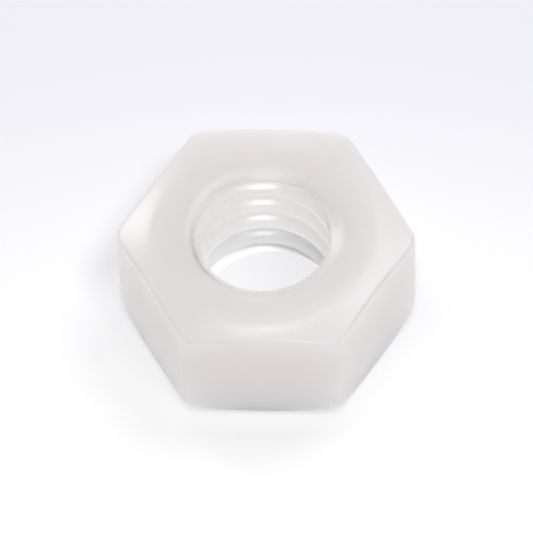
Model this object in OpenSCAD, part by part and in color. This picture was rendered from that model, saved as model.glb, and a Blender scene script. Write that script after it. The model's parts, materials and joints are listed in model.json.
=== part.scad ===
// Hexagon nut, moulded in one piece from natural (undyed, milky) nylon.
//
// It lies flat on its lower bearing face. The bore's axis is Z, and the
// origin is the centre of the lower face. Two of the six flats face -Y and
// +Y, and two of the six upright edges lie on the X axis. All sizes are in
// millimetres. The bore is the cylinder through the crests of the thread.

/* [Hexagon] */
// Width across two opposite flats
across_flats = 10; // [8.5:0.1:16]
// Thickness from one bearing face to the other
thickness = 5; // [3:0.1:10]
// Radius of the six upright edges, where two flats meet
edge_r = 0.8; // [0.2:0.1:1.2]

/* [Chamfers] */
// How far the round bearing face stays inside the flats
bearing_inset = 0.65; // [0.2:0.05:1]
// Slope of the corner chamfers, up from the plane of the bearing face
chamfer_angle = 16; // [8:1:25]

/* [Bore] */
// Diameter of the bore at the crests of the thread
bore_d = 4.92; // [3:0.02:5.4]
// Width of the countersink, from the bore's wall out to its rim
countersink_w = 0.6; // [0.2:0.05:0.8]
// Included angle of the countersink at each end of the bore
countersink_angle = 150; // [90:5:160]

/* [Hidden] */
$fn = 96;

SIDES = 6;
NYLON = [0.90, 0.89, 0.89];
// The rounded edges stand proud of the flats by a hair, so that each pair of
// surfaces crosses along one clean line where it would only touch.
HAIR = 0.0002;

// The rounded edges' centres are the corners of a smaller hexagon, and its
// corners lie as far from the middle as its sides are long
core_side = (across_flats / 2 - edge_r) / cos(180 / SIDES);
corner_r = core_side + edge_r + HAIR;
// Round bearing face
bearing_r = across_flats / 2 - bearing_inset;
// Countersink
bore_r = bore_d / 2;
countersink_depth = countersink_w / tan(countersink_angle / 2);

// Hexagon with rounded corners: a bar across each pair of opposite flats,
// as wide as the straight part of a side, and a disc in each corner.
module rounded_hexagon() {
    for (side = [1 : SIDES / 2])
        rotate(360 / SIDES * side)
            square([core_side, across_flats], center = true);
    for (corner = [1 : SIDES])
        rotate(360 / SIDES * corner)
            translate([core_side, 0])
                circle(r = edge_r + HAIR);
}

// Turned blank whose two ends slope away from the round bearing faces. It is
// wider than the hexagon's corners, so only its ends cut the hexagon.
module chamfered_blank() {
    blank_r = corner_r + edge_r;
    rim_drop = (blank_r - bearing_r) * tan(chamfer_angle);
    rotate_extrude()
        polygon([
            [0, 0],
            [bearing_r, 0],
            [blank_r, rim_drop],
            [blank_r, thickness - rim_drop],
            [bearing_r, thickness],
            [0, thickness]
        ]);
}

// Space inside the nut as one turned profile: the bore and its countersinks,
// which go on widening past both faces as far as they are deep.
module bore_space() {
    past_r = bore_r + 2 * countersink_w;
    rotate_extrude()
        polygon([
            [0, -countersink_depth],
            [past_r, -countersink_depth],
            [bore_r, countersink_depth],
            [bore_r, thickness - countersink_depth],
            [past_r, thickness + countersink_depth],
            [0, thickness + countersink_depth]
        ]);
}

module nut() {
    color(NYLON)
        difference() {
            intersection() {
                linear_extrude(thickness)
                    rounded_hexagon();
                chamfered_blank();
            }
            bore_space();
        }
}

nut();
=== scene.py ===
"""The looks of a moulded hexagon nut in natural nylon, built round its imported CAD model.

The nut is one closed grid surface, worked out with numpy: its section is carried round
the bore's axis, and the thread, the hexagon and the soft moulded edges are formulas of
the angle round the axis and the place along the section. Lengths are in metres.
"""

import json
import logging
import math
from dataclasses import dataclass, field
from enum import Enum
from typing import Any

import bpy
import numpy as np
from mathutils import Matrix, Vector


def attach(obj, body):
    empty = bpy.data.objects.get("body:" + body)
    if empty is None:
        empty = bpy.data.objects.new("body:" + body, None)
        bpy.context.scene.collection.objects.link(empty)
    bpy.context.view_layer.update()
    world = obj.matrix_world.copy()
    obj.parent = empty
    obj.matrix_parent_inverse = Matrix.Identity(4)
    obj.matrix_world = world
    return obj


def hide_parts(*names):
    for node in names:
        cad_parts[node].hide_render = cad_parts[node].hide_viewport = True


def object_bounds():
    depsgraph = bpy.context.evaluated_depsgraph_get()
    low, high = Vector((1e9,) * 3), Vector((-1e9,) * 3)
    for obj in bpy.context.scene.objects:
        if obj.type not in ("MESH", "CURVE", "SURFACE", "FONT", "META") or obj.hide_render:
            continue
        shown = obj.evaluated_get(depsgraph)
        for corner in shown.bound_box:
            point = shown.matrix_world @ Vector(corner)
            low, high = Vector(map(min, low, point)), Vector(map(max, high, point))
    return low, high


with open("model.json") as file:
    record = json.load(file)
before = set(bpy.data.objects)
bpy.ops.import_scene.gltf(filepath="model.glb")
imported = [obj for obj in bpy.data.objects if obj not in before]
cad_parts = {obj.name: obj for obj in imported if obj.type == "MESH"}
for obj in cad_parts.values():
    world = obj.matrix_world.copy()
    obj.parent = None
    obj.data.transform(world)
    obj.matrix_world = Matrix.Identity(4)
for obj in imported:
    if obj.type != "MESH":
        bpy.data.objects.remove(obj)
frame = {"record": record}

log = logging.getLogger("nut")

MM = 0.001
SIDES = 6
Grid = np.ndarray
Colour = tuple[float, float, float]
Opaque = tuple[float, float, float, float]
Place = tuple[float, float, float]
Span = tuple[float, float]
BLACK: Colour = (0.0, 0.0, 0.0)
ORIGIN: Place = (0.0, 0.0, 0.0)


class Hand(Enum):
    """Which way a thread climbs, seen along its axis."""

    RIGHT = 1
    LEFT = -1


def soft_max(a: Grid | float, b: Grid | float, width: float) -> Grid:
    """Returns the larger of two numbers, with their crossing rounded off.

    Formula: half of a + b + the square root of (a - b) squared + width squared.

    Args:
        a: First number or array.
        b: Second number or array.
        width: How wide the rounding is, in the units of a and b.

    Returns:
        The rounded maximum.
    """
    return (a + b + np.sqrt((a - b) ** 2 + width**2)) / 2


def soft_min(a: Grid | float, b: Grid | float, width: float) -> Grid:
    """Returns the smaller of two numbers, rounded off as in soft_max."""
    return -soft_max(-a, -b, width)


class Nodes:
    """The node tree of a material or a world, filled through one method."""

    def __init__(self, tree: bpy.types.NodeTree) -> None:
        """Empties the tree and keeps it."""
        self.tree = tree
        tree.nodes.clear()

    def add(self, kind: str, settings: dict[str, Any], inputs: dict[int | str, Any]) -> bpy.types.Node:
        """Adds one node.

        Args:
            kind: The node's type, such as ShaderNodeMath.
            settings: Properties, which are set before the sockets.
            inputs: Socket name or number to a plain value, or to a Wire to link.

        Returns:
            The new node.
        """
        node = self.tree.nodes.new(kind)
        for name, value in settings.items():
            setattr(node, name, value)
        for name, value in inputs.items():
            if isinstance(value, Wire):
                self.tree.links.new(value.socket, node.inputs[name])
            else:
                node.inputs[name].default_value = value
        return node

    def wire(
        self, kind: str, settings: dict[str, Any], inputs: dict[int | str, Any], out: int | str = 0
    ) -> "Wire":
        """Adds one node as add does, and returns one of its outputs as a Wire."""
        return Wire(self, self.add(kind, settings, inputs).outputs[out])

    def mix(self, factor: "Wire", a: "Wire | Colour", b: "Wire | Colour") -> "Wire":
        """Mixes two colours.

        Args:
            factor: 0 for all of a, 1 for all of b.
            a: First colour.
            b: Second colour.

        Returns:
            The mixed colour.
        """
        ends = {"A": a, "B": b}
        colours = {name: end if isinstance(end, Wire) else (*end, 1.0) for name, end in ends.items()}
        return self.wire(
            "ShaderNodeMix", {"data_type": "RGBA"}, {"Factor": factor, **colours}, "Result"
        )

    def matt(self, base: "Wire | Opaque", glow: "Wire", strength: float) -> "Wire":
        """Adds a shader without gloss.

        Args:
            base: The colour that light falls on.
            glow: The colour that it gives off.
            strength: How strongly it gives that off.

        Returns:
            The shader.
        """
        return self.wire(
            "ShaderNodeBsdfPrincipled", {},
            {
                "Base Color": base,
                "Roughness": 1.0,
                "Specular IOR Level": 0.0,
                "Emission Color": glow,
                "Emission Strength": strength,
            },
        )


@dataclass
class Wire:
    """A value in a node tree. Arithmetic on it adds Math nodes."""

    nodes: Nodes
    socket: bpy.types.NodeSocket

    def math(self, operation: str, a: "Wire | float", b: "Wire | float") -> "Wire":
        """Adds a Math node on a and b and returns its value."""
        return self.nodes.wire("ShaderNodeMath", {"operation": operation}, {0: a, 1: b})

    def __add__(self, other: "Wire | float") -> "Wire":
        """Returns self + other."""
        return self.math("ADD", self, other)

    __radd__ = __add__

    def __mul__(self, other: "Wire | float") -> "Wire":
        """Returns self * other."""
        return self.math("MULTIPLY", self, other)

    __rmul__ = __mul__

    def __sub__(self, other: "Wire | float") -> "Wire":
        """Returns self - other."""
        return self.math("SUBTRACT", self, other)

    def __rsub__(self, other: "Wire | float") -> "Wire":
        """Returns other - self."""
        return self.math("SUBTRACT", other, self)

    def __abs__(self) -> "Wire":
        """Returns self without its sign."""
        return self.math("ABSOLUTE", self, 0.0)

    def larger(self, other: "Wire | float") -> "Wire":
        """Returns whichever of self and other is larger."""
        return self.math("MAXIMUM", self, other)

    def axis(self, name: str) -> "Wire":
        """Returns the X, Y or Z of a vector."""
        return self.nodes.wire("ShaderNodeSeparateXYZ", {}, {"Vector": self}, name)

    def vector_math(self, operation: str, other: Place, out: str = "Value") -> "Wire":
        """Adds a Vector Math node on self and other and returns its number or its vector."""
        return self.nodes.wire(
            "ShaderNodeVectorMath", {"operation": operation}, {0: self, 1: other}, out
        )

    def fade(self, span: Span, first: float = 1.0, last: float = 0.0) -> "Wire":
        """Returns a smooth step over a span of self.

        Args:
            span: Where the step starts and where it ends.
            first: The value before the span.
            last: The value after it.

        Returns:
            The stepped value.
        """
        start, end = span
        return self.nodes.wire(
            "ShaderNodeMapRange", {"interpolation_type": "SMOOTHSTEP"},
            {"Value": self, "From Min": start, "From Max": end, "To Min": first, "To Max": last},
        )

    def noise(self, size: float, detail: float, roughness: float) -> "Wire":
        """Adds a noise at a place in space.

        Args:
            size: The length of one wave.
            detail: How many finer layers it has.
            roughness: How strong each finer layer is.

        Returns:
            The noise, from 0 to 1.
        """
        return self.nodes.wire(
            "ShaderNodeTexNoise", {},
            {"Vector": self, "Scale": 1 / size, "Detail": detail, "Roughness": roughness},
        )


@dataclass(frozen=True)
class NaturalNylon:
    """Undyed nylon: milky, a little translucent, with a soft moulded gloss."""

    name: str = "natural_nylon"
    body: Colour = (0.632, 0.605, 0.611)
    cloud: Colour = (0.622, 0.597, 0.605)
    cloud_size: float = 2.3 * MM
    cloud_detail: float = 3.0
    cloud_roughness: float = 0.5
    # painted light: the bore is painted paler than the body, masked by the distance from the axis and
    # by the height
    bore: Colour = (0.966, 0.938, 0.926)
    painted_light_reach: Span = (2.9 * MM, 3.15 * MM)
    painted_light_height: Span = (4.3 * MM, 4.75 * MM)
    roughness: float = 0.25
    roughness_change: float = 0.03
    refraction: float = 1.53
    scatter_length: float = 8.0 * MM
    scatter_share: Colour = (1.0, 0.92, 0.84)
    skin_size: float = 0.17 * MM
    skin_depth: float = 0.002 * MM
    skin_detail: float = 4.0
    skin_roughness: float = 0.6

    def material(self) -> bpy.types.Material:
        """Makes the finish as a material.

        Clouds of a slightly deeper tone drift through the body, and the same noise makes
        the skin a little duller in places. The bore's wall is painted paler than the body,
        painted light that stands in for the light that fills it from all sides. A fine noise
        raises the skin's texture.

        Returns:
            The material.
        """
        material = bpy.data.materials.new(self.name)
        material.use_nodes = True
        nodes = Nodes(material.node_tree)
        place = nodes.wire("ShaderNodeTexCoord", {}, {}, "Object")
        clouds = place.noise(self.cloud_size, self.cloud_detail, self.cloud_roughness)
        skin = place.noise(self.skin_size, self.skin_detail, self.skin_roughness)
        level = place.vector_math("MULTIPLY", (1.0, 1.0, 0.0), "Vector")
        # painted light: the mask of the bore, below its rim, whose colour is painted paler
        inside = level.vector_math("DISTANCE", ORIGIN).fade(self.painted_light_reach)
        below = place.axis("Z").fade(self.painted_light_height)
        outside_tone = nodes.mix(clouds, self.body, self.cloud)
        bump = nodes.wire(
            "ShaderNodeBump", {}, {"Height": skin, "Distance": self.skin_depth, "Strength": 1.0}
        )
        shader = nodes.wire(
            "ShaderNodeBsdfPrincipled", {"subsurface_method": "RANDOM_WALK"},
            {
                "Base Color": nodes.mix(inside * below, outside_tone, self.bore),
                "Roughness": self.roughness + self.roughness_change * (clouds - 0.5),
                "IOR": self.refraction,
                "Subsurface Weight": 1.0,
                "Subsurface Radius": self.scatter_share,
                "Subsurface Scale": self.scatter_length,
                "Normal": bump,
            },
        )
        nodes.add("ShaderNodeOutputMaterial", {}, {"Surface": shader})
        return material


@dataclass
class Thread:
    """An internal metric thread, given as a radius for each angle and height."""

    crest_r: float
    root_r: float
    pitch: float = 1.0 * MM
    half_angle: float = math.radians(30)
    # the flat at the root, as a share of the pitch
    root_share: float = 1 / 8
    # angle and height of one upper edge of the crest
    start_angle: float = math.radians(93)
    start_height: float = 4.12 * MM
    hand: Hand = Hand.RIGHT
    softness: float = 0.07 * MM

    def radius(self, angle: Grid, height: Grid) -> Grid:
        """Returns the radius of the thread's surface.

        The groove's middle climbs by one pitch a turn. Its depth falls along each flank
        by one over the tangent of the half angle for each unit of height away from the
        middle, cut off softly at the root's and at the crest's radius.

        Args:
            angle: Angle round the axis, in radians.
            height: Height along the axis.

        Returns:
            The radius at each angle and height.
        """
        slope = math.tan(self.half_angle)
        depth = self.root_r - self.crest_r
        half_mouth = self.pitch * self.root_share / 2 + depth * slope
        middle = self.start_height + half_mouth
        climb = self.hand.value * self.pitch * (angle - self.start_angle) / math.tau
        along = height - middle - climb
        away = np.abs((along + self.pitch / 2) % self.pitch - self.pitch / 2)
        flank = (half_mouth - away) / slope
        groove = soft_min(soft_max(flank, 0.0, self.softness), depth, self.softness)
        return self.crest_r + groove


@dataclass
class Hexagon:
    """The nut's outline: a hexagon with rounded corners, two of them on the X axis."""

    apothem: float
    corner_r: float = 0.8 * MM
    sink: float = 0.012 * MM

    def radius(self, angle: Grid) -> Grid:
        """Returns the outline's distance from the axis.

        On a flat it is the apothem over the cosine of the angle from the flat's middle.
        At a corner it is the far root of the corner circle's equation along the ray. Each
        flat is dished a little, by the square of the cosine across its width.

        Args:
            angle: Angle round the axis, in radians.

        Returns:
            The radius at each angle.
        """
        side = math.tau / SIDES
        turn = np.abs((angle % side) - side / 2)
        core = self.apothem - self.corner_r
        half_flat = core * math.tan(side / 2)
        across = self.apothem * np.tan(turn)
        flat = self.apothem / np.cos(turn)
        reach = core * np.cos(turn) + half_flat * np.sin(turn)
        inside = reach**2 - core**2 - half_flat**2 + self.corner_r**2
        corner = reach + np.sqrt(np.maximum(inside, 0))
        dish = self.sink * np.cos(np.minimum(across / half_flat, 1) * math.pi / 2) ** 2
        return np.where(across > half_flat, corner, flat - dish)


@dataclass
class MouldedNut:
    """The nut as one closed surface: its section carried round the axis."""

    across_flats: float
    thickness: float
    bore_r: float
    countersink_w: float = 0.6 * MM
    countersink_slope: float = math.radians(15)
    bearing_inset: float = 0.65 * MM
    chamfer_slope: float = math.radians(16)
    thread_depth: float = 0.44 * MM
    rim_softness: float = 0.12 * MM
    bearing_softness: float = 0.35 * MM
    edge_r: float = 0.14 * MM
    # the grid: columns round the axis, and rows along each stretch of half a section
    columns: int = 384
    corner_crowding: float = 0.6
    bore_rows: int = 48
    cone_rows: int = 26
    rim_rows: int = 12
    bearing_rows: int = 5
    chamfer_rows: int = 14
    edge_rows: int = 8
    side_rows: int = 8
    finish: NaturalNylon = NaturalNylon()
    thread: Thread = field(init=False)
    outline: Hexagon = field(init=False)
    rim_r: float = field(init=False)
    bearing_r: float = field(init=False)
    middle_r: float = field(init=False)

    def __post_init__(self) -> None:
        """Works out the thread, the outline and the bearing face's radii from the sizes.

        The bearing face is a ring from the countersink's rim to the chamfer. Its middle
        radius is where the inner and the outer rows meet.
        """
        self.thread = Thread(self.bore_r, self.bore_r + self.thread_depth)
        self.outline = Hexagon(self.across_flats / 2)
        self.rim_r = self.bore_r + self.countersink_w
        self.bearing_r = self.across_flats / 2 - self.bearing_inset
        self.middle_r = (self.rim_r + self.bearing_r) / 2

    def angles(self) -> Grid:
        """Returns the columns' angles, crowded together at the hexagon's corners."""
        even = np.arange(self.columns) * math.tau / self.columns
        return even - self.corner_crowding * np.sin(SIDES * even) / SIDES

    def face(self, r: Grid) -> Grid:
        """Returns the height of the upper end face at each radius.

        Two soft hinges: from the bearing face's plane, the countersink falls inwards from
        the rim and the chamfer falls outwards, each by its slope's tangent.

        Args:
            r: Distance from the axis.

        Returns:
            The height above the lower bearing face's plane.
        """
        inwards = soft_max(self.rim_r - r, 0.0, self.rim_softness)
        outwards = soft_max(r - self.bearing_r, 0.0, self.bearing_softness)
        fall = math.tan(self.countersink_slope) * inwards + math.tan(self.chamfer_slope) * outwards
        return self.thickness - fall

    def inner_rows(self, angle: Grid, top: bool) -> tuple[Grid, Grid]:
        """Returns the rows from mid-bore to the middle of the bearing face.

        The plain section is the end face, with the countersink's slope carried on inwards
        and down to mid-bore. Each radius is the soft maximum of that section's and of the
        thread's at the same height, so the grooves run out into the countersink.

        Args:
            angle: The columns' angles, in radians, as one row.
            top: True for the upper half, False for the lower one.

        Returns:
            Radius and height of each row and column, with the height as in the upper half.
        """
        slope = math.tan(self.countersink_slope)
        cone_r = self.bore_r - 2 * self.thread.softness
        cone_foot = self.thickness - slope * (self.rim_r - cone_r)
        deep_h = np.linspace(self.thickness / 2, cone_foot, self.bore_rows, endpoint=False)
        deep_r = self.rim_r - (self.thickness - deep_h) / slope
        rim_in = self.rim_r - self.rim_softness
        rim_out = self.rim_r + self.rim_softness
        cone = np.linspace(cone_r, rim_in, self.cone_rows, endpoint=False)
        rim = np.linspace(rim_in, rim_out, self.rim_rows, endpoint=False)
        bearing = np.linspace(rim_out, self.middle_r, self.bearing_rows)
        face_r = np.concatenate([cone, rim, bearing])
        plain_r = np.concatenate([deep_r, face_r])[:, None]
        plain_h = np.concatenate([deep_h, self.face(face_r)])[:, None]
        thread_r = self.thread.radius(angle, plain_h if top else self.thickness - plain_h)
        radius = soft_max(plain_r, thread_r, self.thread.softness)
        return radius, np.broadcast_to(plain_h, radius.shape)

    def outer_rows(self, angle: Grid) -> tuple[Grid, Grid]:
        """Returns the rows from the middle of the bearing face to mid-flat.

        They follow the end face out to the rounded edge, a quarter circle of the edge's
        radius that sinks with the chamfer, and then go straight down the outline.

        Args:
            angle: The columns' angles, in radians, as one row.

        Returns:
            Radius and height of each row and column of the upper half.
        """
        outer = self.outline.radius(angle)
        share = np.linspace(0, 1, self.chamfer_rows + 1)[1:, None]
        face_r = self.middle_r + (outer - self.edge_r - self.middle_r) * share
        face_h = self.face(face_r)

        bend = np.linspace(math.pi / 2, 0, self.edge_rows + 1)[1:, None]
        edge_r = outer - self.edge_r * (1 - np.cos(bend))
        edge_h = self.face(edge_r) - self.edge_r * (1 - np.sin(bend))

        shoulder = edge_h[-1:]
        drop = np.linspace(0, 1, self.side_rows + 1)[1:, None]
        side_h = shoulder + (self.thickness / 2 - shoulder) * drop
        side_r = np.broadcast_to(outer, side_h.shape)
        return np.concatenate([face_r, edge_r, side_r]), np.concatenate([face_h, edge_h, side_h])

    def half_section(self, angle: Grid, top: bool) -> tuple[Grid, Grid]:
        """Returns one half of the section, from mid-bore over an end face to mid-flat.

        Args:
            angle: The columns' angles, in radians, as one row.
            top: True for the upper half, False for the lower one.

        Returns:
            Radius and height of each row and column.
        """
        inner_r, inner_h = self.inner_rows(angle, top)
        outer_r, outer_h = self.outer_rows(angle)
        radius = np.concatenate([inner_r, outer_r])
        height = np.concatenate([inner_h, outer_h])
        return radius, height if top else self.thickness - height

    def surface(self) -> tuple[Grid, Grid, Grid]:
        """Returns the closed surface.

        The upper half section and the lower one, taken backwards, make one loop. x and y
        are its radius times the cosine and the sine of the angle, and z is its height.

        Returns:
            x, y and z of each row and column.
        """
        angle = self.angles()[None, :]
        top_r, top_h = self.half_section(angle, top=True)
        low_r, low_h = self.half_section(angle, top=False)
        radius = np.concatenate([top_r, low_r[::-1][1:-1]])
        height = np.concatenate([top_h, low_h[::-1][1:-1]])
        return radius * np.cos(angle), radius * np.sin(angle), height

    def build(self, name: str) -> bpy.types.Object:
        """Makes the nut's mesh object.

        Args:
            name: Name of the object and its mesh.

        Returns:
            The object, at the origin, with smooth faces that point outwards.
        """
        x, y, z = self.surface()
        points = np.stack([x, y, z], axis=-1).reshape(-1, 3)
        here = np.arange(x.size).reshape(x.shape)
        right = np.roll(here, -1, axis=1)
        corners = [here, np.roll(here, -1, axis=0), np.roll(right, -1, axis=0), right]
        quads = np.stack(corners, axis=-1).reshape(-1, 4)
        mesh = bpy.data.meshes.new(name)
        mesh.from_pydata(points.tolist(), [], quads.tolist())
        mesh.shade_smooth()
        mesh.validate()
        piece = bpy.data.objects.new(name, mesh)
        bpy.context.scene.collection.objects.link(piece)
        return piece

    def dress(self, piece: bpy.types.Object) -> None:
        """Gives the nut its finish, the same all over."""
        piece.data.materials.append(self.finish.material())


def from_axis(place: Wire) -> Wire:
    """Measures how far a place lies from the nut's axis, square to the nearest flat.

    Formula: the largest of the dot products, without their signs, of the place and the
    three directions that the pairs of flats face.

    Args:
        place: Coordinates with the nut's axis as their Z axis.

    Returns:
        The distance, which is the same all along a hexagon.
    """
    side = math.tau / SIDES
    first, second, third = (
        abs(place.vector_math("DOT_PRODUCT", (math.cos(angle), math.sin(angle), 0.0)))
        for angle in (side * (pair + 0.5) for pair in range(SIDES // 2))
    )
    return first.larger(second).larger(third)


@dataclass(frozen=True)
class TablePaper:
    """The table's pale paper, with one look for the eye and one for lighting the nut."""

    name: str = "table_paper"
    # the tone, from the front to the back: painted shade, darker and bluer towards the back
    near_tone: Colour = (1.0, 1.0, 1.0)
    far_painted_shade: Colour = (0.84, 0.83, 0.875)
    tone_y: Span = (-8 * MM, 14 * MM)
    # how much of the seen paper is lit, not steady: in the open, at the nut's foot, in the bore; at the
    # foot and in the bore the larger steady part is painted light that lightens the shadows
    open_share: float = 0.94
    close_share: float = 0.39
    hole_share: float = 0.05
    # how bright white paper looks in the open, and how bright the tone is across the bore, a painted
    # shade that darkens its right side
    open_light: float = 0.945
    hole_painted_shade: tuple[float, float] = (0.99, 0.905)
    # where the nut's foot ends, square to the flats, and where the bore's floor ends
    close_span: Span = (5.0 * MM, 6.6 * MM)
    hole_span: Span = (2.9 * MM, 3.1 * MM)
    hole_x: Span = (-1.6 * MM, 1.6 * MM)
    # the light that the paper throws on the nut, under its bore and beside its flats
    bounce: Colour = (0.75, 0.75, 0.75)
    glow_tone: Colour = (1.0, 0.98, 0.965)
    glow_strength: float = 2.6
    under_middle: Place = (-0.5 * MM, 0.1 * MM, 0.0)
    under_span: Span = (1.5 * MM, 3.4 * MM)
    under_share: float = 0.37
    beside_span: Span = (5.0 * MM, 5.15 * MM)
    beside_close: float = 0.85
    beside_far: float = 0.154

    def material(self) -> bpy.types.Material:
        """Makes the paper as a material.

        What the camera and the gloss see is the seen paper, and what lights the nut is the
        glowing one. From below the table is clear, so that the underside can be looked at.

        Returns:
            The material.
        """
        material = bpy.data.materials.new(self.name)
        material.use_nodes = True
        nodes = Nodes(material.node_tree)
        place = nodes.wire("ShaderNodeTexCoord", {}, {}, "Object")
        away = from_axis(place)
        seen = self.seen_paper(place, away)
        glowing = self.glowing_paper(place, away)
        path = nodes.add("ShaderNodeLightPath", {}, {})
        camera, gloss, passed = (
            Wire(nodes, path.outputs[name])
            for name in ("Is Camera Ray", "Is Glossy Ray", "Is Transmission Ray")
        )
        paper = nodes.wire("ShaderNodeMixShader", {}, {0: camera + gloss + passed, 1: glowing, 2: seen})
        behind = nodes.wire("ShaderNodeNewGeometry", {}, {}, "Backfacing")
        clear = nodes.wire("ShaderNodeBsdfTransparent", {}, {})
        shader = nodes.wire("ShaderNodeMixShader", {}, {0: behind, 1: paper, 2: clear})
        nodes.add("ShaderNodeOutputMaterial", {}, {"Surface": shader})
        return material

    def seen_paper(self, place: Wire, away: Wire) -> Wire:
        """Makes the paper that is seen.

        It is part lit and part steady: the lit part takes the shadows, and the steady part
        keeps them light. In the open both together make the tone. At the nut's foot the paper
        is steadier, painted light that lightens its shadow there, and in the bore it is nearly
        all steady, painted light, with painted shade that darkens it from left to right.

        Args:
            place: The table's own coordinates.
            away: The distance from the axis, square to the nearest flat.

        Returns:
            The shader.
        """
        nodes = place.nodes
        tone = nodes.mix(place.axis("Y").fade(self.tone_y, 0.0, 1.0), self.near_tone, self.far_painted_shade)
        # painted light: the paper is steadier at the nut's foot, which lightens its shadow there
        close = away.fade(self.close_span)
        # painted light in the bore, where the paper is nearly all steady
        in_hole = place.vector_math("DISTANCE", ORIGIN).fade(self.hole_span)
        # painted shade: the bore's floor is darker towards the right
        across = place.axis("X").fade(self.hole_x, *self.hole_painted_shade)
        level = 1 - (1 - across) * in_hole
        part_lit = (
            self.open_share
            + (self.close_share - self.open_share) * close
            + (self.hole_share - self.close_share) * in_hole
        )
        lit = nodes.mix(part_lit * level, BLACK, tone)
        steady = nodes.mix((1 - self.open_light * part_lit) * level, BLACK, tone)
        return nodes.matt(lit, steady, 1.0)

    def glowing_paper(self, place: Wire, away: Wire) -> Wire:
        """Makes the paper that lights the nut.

        It bounces light as grey paper does, and glows under the bore and beside the flats,
        which stands in for the many bounces of light between the nut and the table.

        Args:
            place: The table's own coordinates.
            away: The distance from the axis, square to the nearest flat.

        Returns:
            The shader.
        """
        under = place.vector_math("DISTANCE", self.under_middle).fade(
            self.under_span, self.under_share, 0.0
        )
        beside = away.fade(self.beside_span, 0.0, 1.0)
        closer = self.beside_close - self.beside_far
        around = beside * (self.beside_far + closer * away.fade(self.close_span))
        glow = place.nodes.mix(under + around, BLACK, self.glow_tone)
        return place.nodes.matt((*self.bounce, 1.0), glow, self.glow_strength)


@dataclass(frozen=True)
class SoftLamp:
    """A soft box, aimed at the nut: square, or a strip that is wider than high."""

    name: str
    place: Place
    size: float
    power: float
    stretch: float = 1.0

    def hang(self, target: Vector) -> None:
        """Hangs the lamp at its place.

        Args:
            target: The point it is aimed at.
        """
        light = bpy.data.lights.new(self.name, "AREA")
        light.shape = "RECTANGLE"
        light.size = self.size * self.stretch
        light.size_y = self.size
        light.energy = self.power
        lamp = bpy.data.objects.new(self.name, light)
        lamp.location = self.place
        aim = target - Vector(self.place)
        lamp.rotation_euler = aim.to_track_quat("-Z", "Y").to_euler()
        bpy.context.scene.collection.objects.link(lamp)


@dataclass(frozen=True)
class LongLens:
    """The camera: a long lens that looks down on the nut from the front."""

    name: str = "camera"
    # in millimetres, as a camera's focal length is given
    focal_length: float = 542.2
    azimuth: float = math.radians(3.93)
    elevation: float = math.radians(54.41)
    roll: float = math.radians(-2.28)
    distance: float = 305.05 * MM
    aim_offset: Place = (-0.023 * MM, 0.155 * MM, 0.0)
    # the nearest and the farthest thing it sees, as shares of its distance
    nearest: float = 0.01
    farthest: float = 20.0

    def set_up(self, centre: Vector) -> None:
        """Puts the camera on its ray from the nut's middle, aims it and makes it the scene's.

        Args:
            centre: The nut's middle.
        """
        data = bpy.data.cameras.new(self.name)
        data.lens = self.focal_length
        data.clip_start = self.distance * self.nearest
        data.clip_end = self.distance * self.farthest
        camera = bpy.data.objects.new(self.name, data)
        level = math.cos(self.elevation)
        ahead = level * math.cos(self.azimuth)
        back = Vector((level * math.sin(self.azimuth), -ahead, math.sin(self.elevation)))
        camera.location = centre + Vector(self.aim_offset) + back * self.distance
        tilt = (-back).to_track_quat("-Z", "Y").to_matrix().to_4x4()
        turn = tilt @ Matrix.Rotation(self.roll, 4, "Z")
        camera.rotation_euler = turn.to_euler()
        bpy.context.scene.collection.objects.link(camera)
        bpy.context.scene.camera = camera


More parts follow.
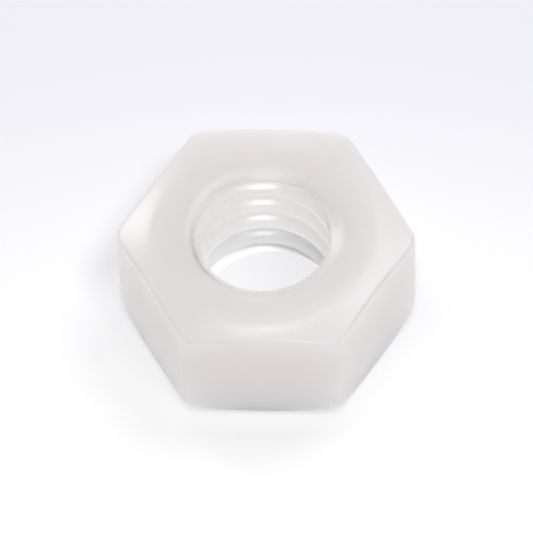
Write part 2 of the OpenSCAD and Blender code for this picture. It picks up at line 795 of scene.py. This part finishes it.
@dataclass
class Studio:
    """A pale table in a light tent, with soft lamps and a camera."""

    centre: Vector
    floor_gap: float = 0.012 * MM
    floor_half: float = 400 * MM
    paper: TablePaper = TablePaper()
    tent_colour: Colour = (0.98, 0.985, 1.0)
    tent_strength: float = 0.465
    lamps: tuple[SoftLamp, ...] = (
        SoftLamp("key", (38 * MM, 46 * MM, 104 * MM), 58 * MM, 0.0290),
        SoftLamp("front", (10 * MM, -23 * MM, 60 * MM), 10 * MM, 0.0114, 2.0),
        SoftLamp("crown", (-2 * MM, 8 * MM, 60 * MM), 6 * MM, 0.0026, 2.4),
        SoftLamp("rear", (-34 * MM, 22 * MM, 40 * MM), 30 * MM, 0.0010),
        SoftLamp("window", (-33 * MM, 45 * MM, 52 * MM), 10 * MM, 0.0050, 1.7),
    )
    lens: LongLens = LongLens()

    def floor(self) -> bpy.types.Object:
        """Makes the table top, a square a hair below the nut.

        Returns:
            The table's object.
        """
        half = self.floor_half
        mesh = bpy.data.meshes.new("table")
        mesh.from_pydata(
            [(-half, -half, 0), (half, -half, 0), (half, half, 0), (-half, half, 0)],
            [], [(0, 1, 2, 3)],
        )
        mesh.transform(Matrix.Translation((0, 0, -self.floor_gap)))
        mesh.materials.append(self.paper.material())
        table = bpy.data.objects.new("table", mesh)
        bpy.context.scene.collection.objects.link(table)
        return table

    def light(self) -> None:
        """Lights the scene evenly from all round, as a light tent does, and hangs the lamps."""
        world = bpy.data.worlds.new("tent")
        bpy.context.scene.world = world
        world.use_nodes = True
        nodes = Nodes(world.node_tree)
        glow = nodes.wire(
            "ShaderNodeBackground", {},
            {"Color": (*self.tent_colour, 1.0), "Strength": self.tent_strength},
        )
        nodes.add("ShaderNodeOutputWorld", {}, {"Surface": glow})
        for lamp in self.lamps:
            lamp.hang(self.centre)


def main() -> None:
    """Builds the nut, dresses it and sets the studio round it."""
    logging.basicConfig(level=logging.INFO, format="%(message)s")
    cad_low, cad_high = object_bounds()
    mounts = {mount["name"]: mount for mount in frame["record"]["mounts"]}
    box = cad_high - cad_low
    nut = MouldedNut(
        across_flats=box.y,
        thickness=box.z,
        bore_r=mounts["thread"]["dims"]["r_mm"] * MM,
    )
    piece = nut.build("moulded_nut")
    nut.dress(piece)
    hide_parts("nut")
    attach(piece, "root")
    log.info("%s: %d faces", piece.name, len(piece.data.polygons))

    studio = Studio(centre=(cad_low + cad_high) / 2)
    studio.floor()
    studio.light()
    studio.lens.set_up(studio.centre)
    bpy.context.scene.view_settings.view_transform = "Standard"


if __name__ == "__main__":
    main()
